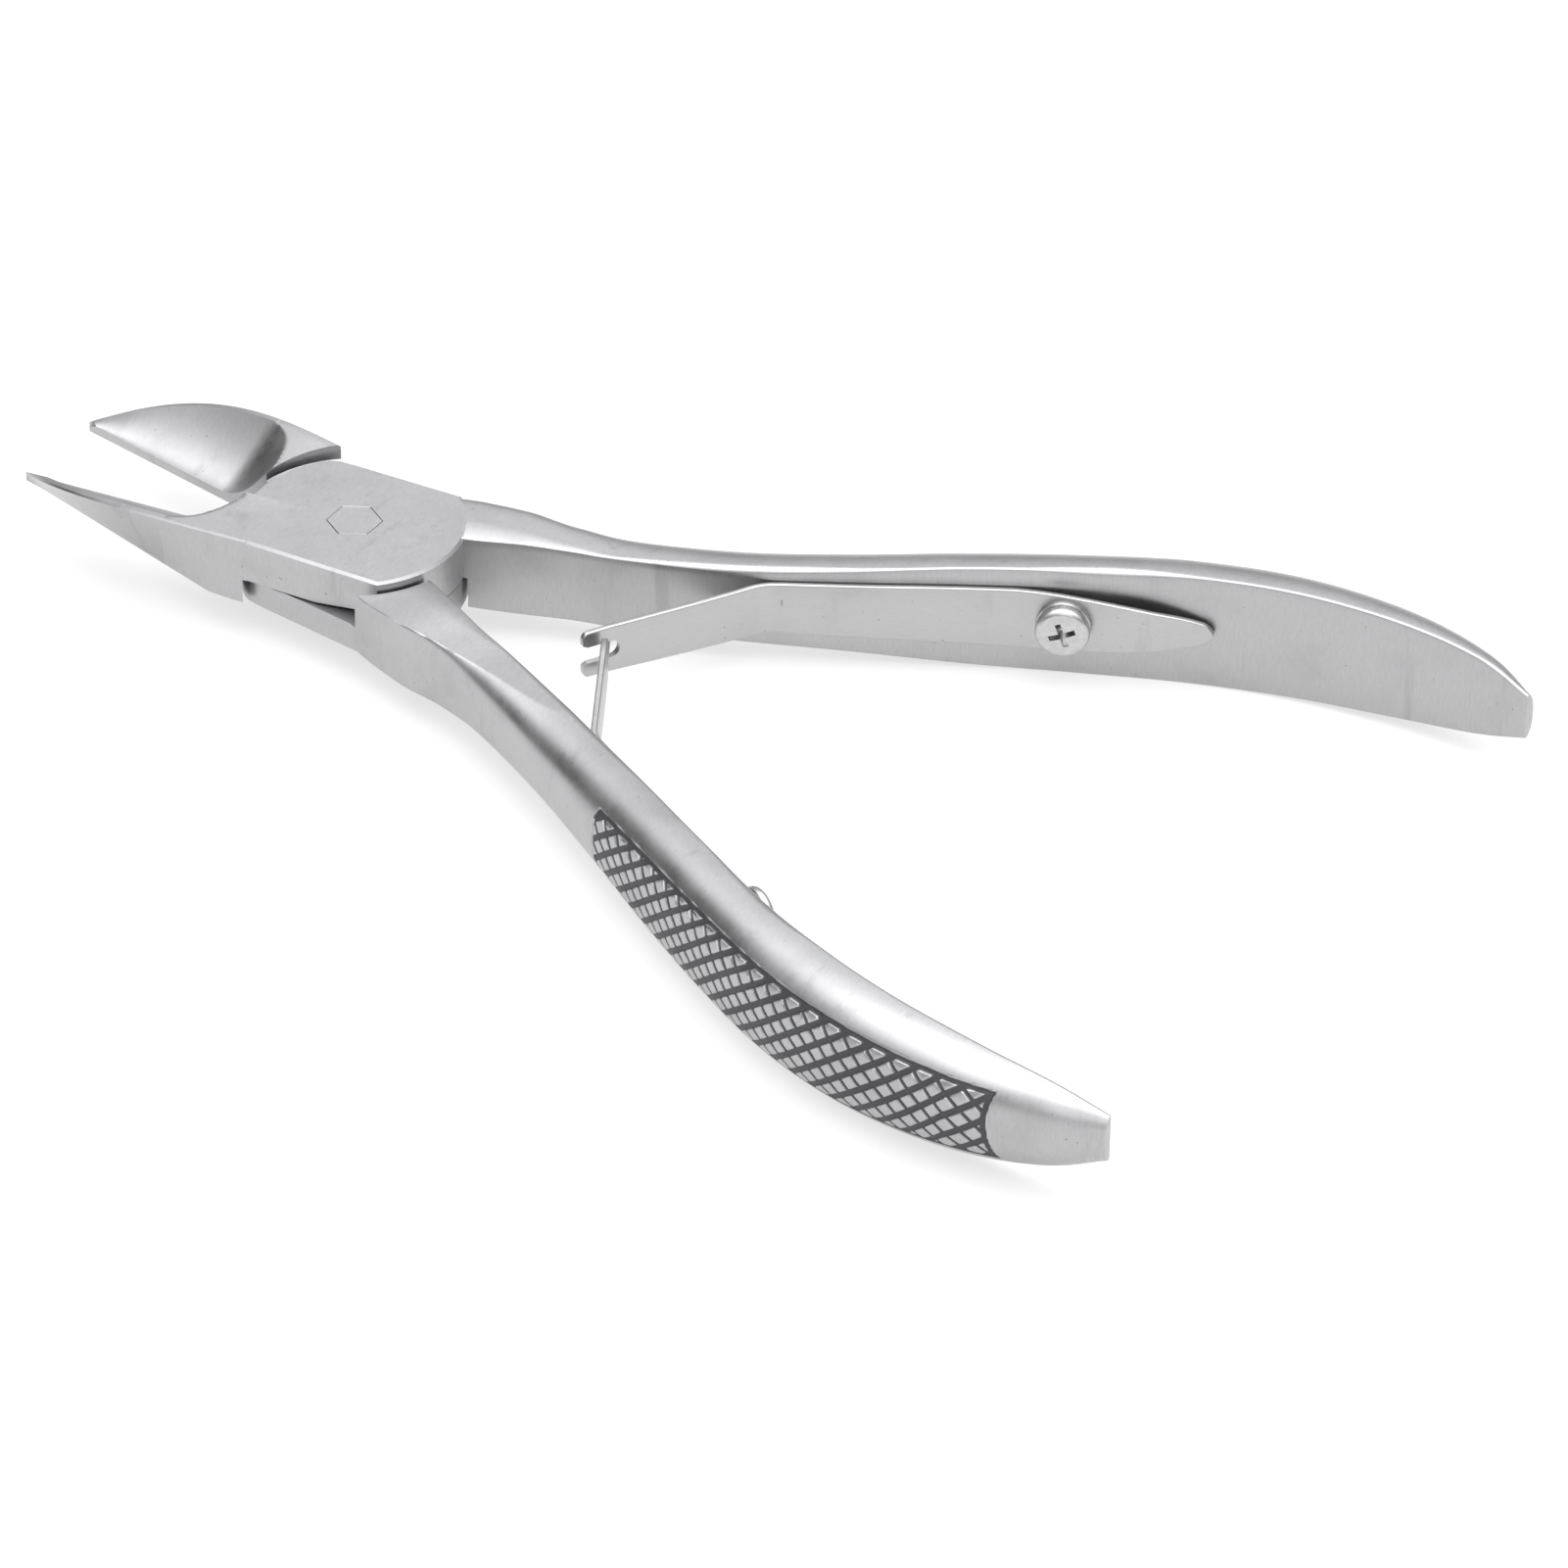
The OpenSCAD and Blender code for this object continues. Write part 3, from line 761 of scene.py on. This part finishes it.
def finish_leaf(name, leaf, cuts, upper):
    """Bores the leaf for its screw and stands it in place."""
    for mirrored in [leaf, *cuts]:
        mirrored.data.transform(MIRROR)
        mirrored.data.flip_normals()
    bore = lathe("bore", [(LEAF_BORE_R, -3), (LEAF_BORE_R, 2)], 32)
    bore.data.transform(Matrix.Rotation(-OPEN_HALF, 4, "Z") @ screw_matrix())
    combine(leaf, cuts + [bore], "DIFFERENCE")
    smooth(leaf)
    place(leaf, upper, closed=False)
    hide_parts(name + "_base", name + "_tip")
    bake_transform(leaf)
    return leaf


# ---- Making the screws -------------------------------------------------------------------------


def recess(turn, top):
    """One slot of the cross recess, tapering into the head."""
    c, s = math.cos(turn), math.sin(turn)
    rings = []
    for depth, half, wide in RECESS:
        corners = ((-half, -wide), (half, -wide), (half, wide), (-half, wide))
        rings.append([(x * c - y * s, x * s + y * c, top + depth) for x, y in corners])
    return loft("recess", rings)


def screw(name, upper):
    """Pan-head screw: a round-edged head on a grooved collar, a plain shank and a cross recess."""
    seat = -FACE_GAP - LEAF_T - SCREW_LIFT
    r, top = SCREW_HEAD_R - 0.03, seat - SCREW_HEAD_H
    dome = [(r * math.sin(a) * 0.72, top + 0.16 * (1 - math.cos(a * 1.4)))
            for a in np.linspace(0.04, 1.1, 8)]
    edge = [(r - SCREW_HEAD_ROUND + SCREW_HEAD_ROUND * math.sin(a),
             top + 0.75 - SCREW_HEAD_ROUND * math.cos(a))
            for a in np.linspace(0.15, math.pi / 2, 9)]
    collar = [(r, seat - 1.0), (r - 0.3, seat - 0.88), (r - 0.32, seat - 0.66),
              (r - 0.04, seat - 0.56), (r, seat - 0.45), (r, seat - 0.08), (r - 0.08, seat)]
    shank = [(SCREW_SHANK_R, seat), (SCREW_SHANK_R, 2.9), (SCREW_POINT_R, 3.2)]
    body = lathe(name, dome + edge + collar + shank, 72)
    cross = [recess(turn, top) for turn in (CROSS_TURN, CROSS_TURN + math.pi / 2)]
    combine(body, cross, "DIFFERENCE")
    body.data.transform(screw_matrix())
    smooth(body, 35)
    place(body, upper)
    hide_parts(name)
    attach(body, "upper_arm" if upper else "lower_arm")
    return body


# ---- Materials ---------------------------------------------------------------------------------

SPECK_COLOUR = (0.16, 0.155, 0.15)
# dark of the knurled grooves: dirt in them and painted shade
GROOVE_COLOUR = (0.075, 0.075, 0.08)
STAIN_SHARE = 0.62                         # how bright a stain is beside the dark steel
CLOUD_SCALE, SPECK_SCALE = 0.14, 2.3       # features per millimetre
DRIP_SCALE = (0.45, 0.3, 0.05)
LEAF_STEEL = {"light": (0.49, 0.49, 0.49), "dark": (0.44, 0.44, 0.44), "grain": (1.1, 1.1, 9)}
SCREW_STEEL = {"light": (0.6, 0.6, 0.6), "dark": (0.46, 0.46, 0.46), "rough": (0.22, 0.32),
               "grain": (2, 2, 2), "stain": 0.1}


class Nodes:
    """Short calls for building the node tree of one material or world."""

    def __init__(self, owner):
        owner.use_nodes = True
        self.tree = owner.node_tree
        self.shader = self.tree.nodes.get("Principled BSDF")
        self.column = 0

    def add(self, kind, **values):
        node = self.tree.nodes.new(kind)
        self.column += 1
        node.location = (-220 * self.column, 0)
        for key, value in values.items():
            setattr(node, key, value)
        return node

    def link(self, source, target):
        self.tree.links.new(source, target)

    def set(self, node, **values):
        for key, value in values.items():
            node.inputs[key.replace("_", " ")].default_value = value

    def coordinates(self, turn, scale):
        """Object coordinates in millimetres, turned back to the closed arm and stretched."""
        source = self.add("ShaderNodeTexCoord")
        mapping = self.add("ShaderNodeMapping")
        mapping.inputs["Rotation"].default_value = (0, 0, turn)
        mapping.inputs["Scale"].default_value = [s / MM for s in scale]
        self.link(source.outputs["Object"], mapping.inputs["Vector"])
        return mapping.outputs["Vector"]

    def noise(self, vector, scale=1.0, detail=3.0, roughness=0.5):
        node = self.add("ShaderNodeTexNoise")
        self.set(node, Scale=scale, Detail=detail, Roughness=roughness)
        self.link(vector, node.inputs["Vector"])
        return node.outputs["Fac"]

    def spread(self, value, low, high, to_low, to_high, interpolation="LINEAR"):
        """The value from low to high, stretched to run from to_low to to_high."""
        node = self.add("ShaderNodeMapRange", clamp=True, interpolation_type=interpolation)
        for index, number in zip((1, 2, 3, 4), (low, high, to_low, to_high)):
            node.inputs[index].default_value = number
        self.link(value, node.inputs[0])
        return node.outputs[0]

    def math(self, operation, a, b):
        node = self.add("ShaderNodeMath", operation=operation)
        for socket, value in zip(node.inputs, (a, b)):
            if isinstance(value, (int, float)):
                socket.default_value = value
            else:
                self.link(value, socket)
        return node.outputs[0]

    def mix(self, share, a, b):
        """Colour between a and b, each a colour or another node's output."""
        node = self.add("ShaderNodeMix", data_type="RGBA")
        self.link(share, node.inputs[0])
        for socket, value in ((node.inputs[6], a), (node.inputs[7], b)):
            if isinstance(value, tuple):
                socket.default_value = (*value, 1)
            else:
                self.link(value, socket)
        return node.outputs[2]

    def bump(self, height, strength, distance, under=None):
        node = self.add("ShaderNodeBump")
        self.set(node, Strength=strength, Distance=distance * MM)
        self.link(height, node.inputs["Height"])
        if under is not None:
            self.link(under, node.inputs["Normal"])
        return node.outputs["Normal"]


def steel(name, turn=0.0, light=(0.48, 0.48, 0.485), dark=(0.4, 0.4, 0.405), rough=(0.29, 0.4),
          grain=(12, 1.3, 1.1), stain=0.25, knurled=False):
    """Brushed steel with fine streaks, cloudy stains, upright drips and dark specks. The streaks
    also vary its gloss and relief, and a knurled pad's grooves are duller, with dirt and painted
    shade."""
    material = bpy.data.materials.new(name)
    n = Nodes(material)
    streaks = n.noise(n.coordinates(turn, grain), detail=6, roughness=0.65)
    fine = n.noise(n.coordinates(turn, [g * 3.1 for g in grain]), detail=3, roughness=0.6)
    clouds = n.noise(n.coordinates(turn, [CLOUD_SCALE] * 3), detail=5, roughness=0.6)
    specks = n.noise(n.coordinates(turn, [SPECK_SCALE] * 3), detail=2, roughness=0.4)
    brushed = n.mix(n.spread(streaks, 0.3, 0.7, 0, 1), dark, light)
    drips = n.noise(n.coordinates(turn, DRIP_SCALE), detail=4, roughness=0.6)
    stains = n.math("MAXIMUM", n.spread(clouds, 0.55, 0.78, 0, stain),
                    n.spread(drips, 0.6, 0.72, 0, stain * 1.3))
    colour = n.mix(stains, brushed, tuple(c * STAIN_SHARE for c in dark))
    colour = n.mix(n.spread(specks, 0.735, 0.78, 0, 0.55), colour, SPECK_COLOUR)
    polish = n.spread(streaks, 0.25, 0.75, rough[0], rough[1])
    polish = n.math("ADD", polish, n.spread(clouds, 0.35, 0.75, -0.03, 0.08))
    normal = n.bump(streaks, 0.12, 0.03)
    normal = n.bump(fine, 0.1, 0.012, normal)
    normal = n.bump(specks, 0.06, 0.02, normal)
    if knurled:
        cut = n.add("ShaderNodeAttribute", attribute_name="cut_in").outputs["Fac"]
        # painted shade in the knurled grooves, along with their dirt: the deeper the cut, the darker
        groove_dirt_and_shade = n.spread(cut, 0.12, 0.6, 0, 0.93)
        colour = n.mix(groove_dirt_and_shade, colour, GROOVE_COLOUR)
        polish = n.math("ADD", polish, n.spread(cut, 0.12, 0.6, 0, 0.22))
    n.link(colour, n.shader.inputs["Base Color"])
    n.link(polish, n.shader.inputs["Roughness"])
    n.link(normal, n.shader.inputs["Normal"])
    n.set(n.shader, Metallic=1.0)
    return material


def paint(obj, material):
    """Gives the piece this material alone."""
    obj.data.materials.clear()
    obj.data.materials.append(material)


# ---- Stage -------------------------------------------------------------------------------------

# The camera's place in millimetres, and its right and up directions
CAMERA_AT = (406.1, -571.06, 483.36)
CAMERA_RIGHT = Vector((0.84346, 0.53712, 0.00871))
CAMERA_UP = Vector((-0.3206, 0.4903, 0.81045))
LENS, SENSOR = 208.784, 36
FLOOR_REACH = 3                            # metres
LAMP_AIM = (0.04, 0, 0)

# Brightness of the surround: (sine of the height above the horizon, value)
SKY_STOPS = ((0.0, 0.2), (0.28, 0.14), (0.48, 0.34), (0.62, 0.4), (0.78, 0.85), (0.9, 1.0))
SKY_STRENGTH = 2.6
CARD_TOWARD = (-0.94, -0.06, 0.33)         # where a dark card stands beside the object
CARD_WIDE = math.radians(30)
CARD_LEVEL = 0.06


def camera():
    """Long lens from above, on the lower arm's side and towards the handles' ends."""
    data = bpy.data.cameras.new("camera")
    data.lens = LENS
    data.sensor_width = SENSOR
    data.clip_end = 20
    data.clip_start = 0.02
    obj = bpy.data.objects.new("camera", data)
    back = CAMERA_RIGHT.cross(CAMERA_UP)
    obj.matrix_world = Matrix((
        (CAMERA_RIGHT.x, CAMERA_UP.x, back.x, CAMERA_AT[0] * MM),
        (CAMERA_RIGHT.y, CAMERA_UP.y, back.y, CAMERA_AT[1] * MM),
        (CAMERA_RIGHT.z, CAMERA_UP.z, back.z, CAMERA_AT[2] * MM), (0, 0, 0, 1)))
    bpy.context.scene.collection.objects.link(obj)
    bpy.context.scene.camera = obj


def floor():
    """Pale floor at the object's lowest point. It glows a little, so that its shadows stay light."""
    z, r = cad_low[2], FLOOR_REACH
    mesh = bpy.data.meshes.new("floor")
    mesh.from_pydata([(-r, -r, z), (r, -r, z), (r, r, z), (-r, r, z)], [], [(0, 1, 2, 3)])
    obj = bpy.data.objects.new("floor", mesh)
    bpy.context.scene.collection.objects.link(obj)
    material = bpy.data.materials.new("pale_floor")
    n = Nodes(material)
    n.set(n.shader, Base_Color=(0.33, 0.33, 0.33, 1), Roughness=0.9)
    n.set(n.shader, Emission_Color=(1, 1, 1, 1), Emission_Strength=0.62)
    n.set(n.shader, Specular_IOR_Level=0.0)
    paint(obj, material)


def area_light(name, at, size, power):
    """Soft rectangular lamp at a place in metres, aimed at the object."""
    data = bpy.data.lights.new(name, "AREA")
    data.shape = "RECTANGLE"
    data.size, data.size_y = size
    data.energy = power
    obj = bpy.data.objects.new(name, data)
    obj.location = at
    obj.rotation_euler = (Vector(LAMP_AIM) - Vector(at)).to_track_quat("-Z", "Y").to_euler()
    bpy.context.scene.collection.objects.link(obj)


def sky():
    """Soft studio surround: dim low down, bright overhead, and dark round the card's direction."""
    world = bpy.data.worlds.new("studio")
    n = Nodes(world)
    direction = n.add("ShaderNodeTexCoord").outputs["Generated"]
    split = n.add("ShaderNodeSeparateXYZ")
    n.link(direction, split.inputs[0])
    height = n.add("ShaderNodeValToRGB")
    n.link(split.outputs["Z"], height.inputs[0])
    stops = height.color_ramp.elements
    while len(stops) < len(SKY_STOPS):
        stops.new(0.5)
    for stop, (at, value) in zip(stops, SKY_STOPS):
        stop.position = at
        stop.color = (value, value, value * 1.01, 1)
    aim = n.add("ShaderNodeVectorMath", operation="DOT_PRODUCT")
    aim.inputs[1].default_value = Vector(CARD_TOWARD).normalized()
    n.link(direction, aim.inputs[0])
    card = n.spread(aim.outputs["Value"], math.cos(CARD_WIDE), math.cos(CARD_WIDE / 3),
                    1, CARD_LEVEL, "SMOOTHSTEP")
    shade = n.add("ShaderNodeMix", data_type="RGBA", blend_type="MULTIPLY")
    shade.inputs[0].default_value = 1
    n.link(height.outputs[0], shade.inputs[6])
    n.link(card, shade.inputs[7])
    background = n.tree.nodes["Background"]
    n.link(shade.outputs[2], background.inputs[0])
    background.inputs["Strength"].default_value = SKY_STRENGTH
    bpy.context.scene.world = world


# ---- Build -------------------------------------------------------------------------------------

camera()
floor()
sky()
area_light("overhead", (0.1, 0.1, 0.9), (0.9, 0.9), 3)
area_light("side", (0.5, -0.7, 0.35), (0.6, 0.4), 0.8)
bpy.context.scene.view_settings.view_transform = "Standard"

upper = arm("upper_arm", True)
lower = arm("lower_arm", False)
paint(upper, steel("brushed_steel_upper", turn=-OPEN_HALF, knurled=True))
paint(lower, steel("brushed_steel_lower", turn=OPEN_HALF, knurled=True))
paint(rivet(), steel("rivet_steel", turn=-OPEN_HALF, stain=0.15))

paint(finish_leaf("slotted_leaf", *slotted_leaf(), True),
      steel("spring_steel_upper", turn=-OPEN_HALF, **LEAF_STEEL))
paint(finish_leaf("tongue_leaf", *tongue_leaf(), False),
      steel("spring_steel_lower", turn=OPEN_HALF, **LEAF_STEEL))

screw_finish = steel("screw_steel", **SCREW_STEEL)
paint(screw("slotted_leaf_screw", True), screw_finish)
paint(screw("tongue_leaf_screw", False), screw_finish)
